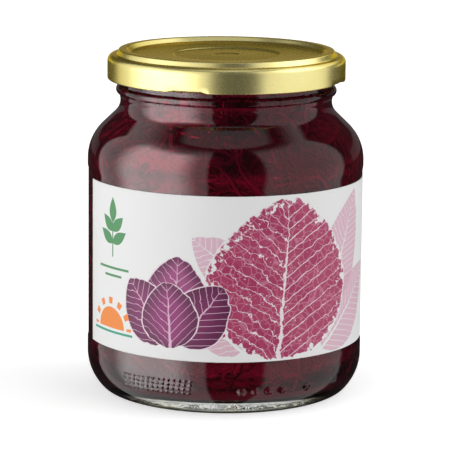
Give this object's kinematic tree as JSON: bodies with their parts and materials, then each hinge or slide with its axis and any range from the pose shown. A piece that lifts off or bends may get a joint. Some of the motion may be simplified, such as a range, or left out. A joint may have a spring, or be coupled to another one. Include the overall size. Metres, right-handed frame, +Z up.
{
  "type": "jar of red cabbage",
  "caption": "Round-shouldered glass food jar filled with shredded red cabbage, closed with a gold metal twist-off lid and wrapped in a printed paper label.",
  "frame": {"origin": "centre of the base, in the plane of the bearing ring the jar stands on", "axes": "+Z up along the jar's axis, -Y towards the front of the label, +X to the right seen from the front"},
  "size_m": [0.0808, 0.0808, 0.1006],
  "materials": {
    "glass": "clear flint glass",
    "gold_lacquer": "satin gold lacquer on tinplate",
    "label_paper": "smooth coated paper",
    "red_cabbage": "wet shredded red cabbage in juice"
  },
  "bodies": {
    "root": {"glass_jar": "glass", "lid": "gold_lacquer", "label": "label_paper", "cabbage": "red_cabbage"}
  },
  "joints": []
}
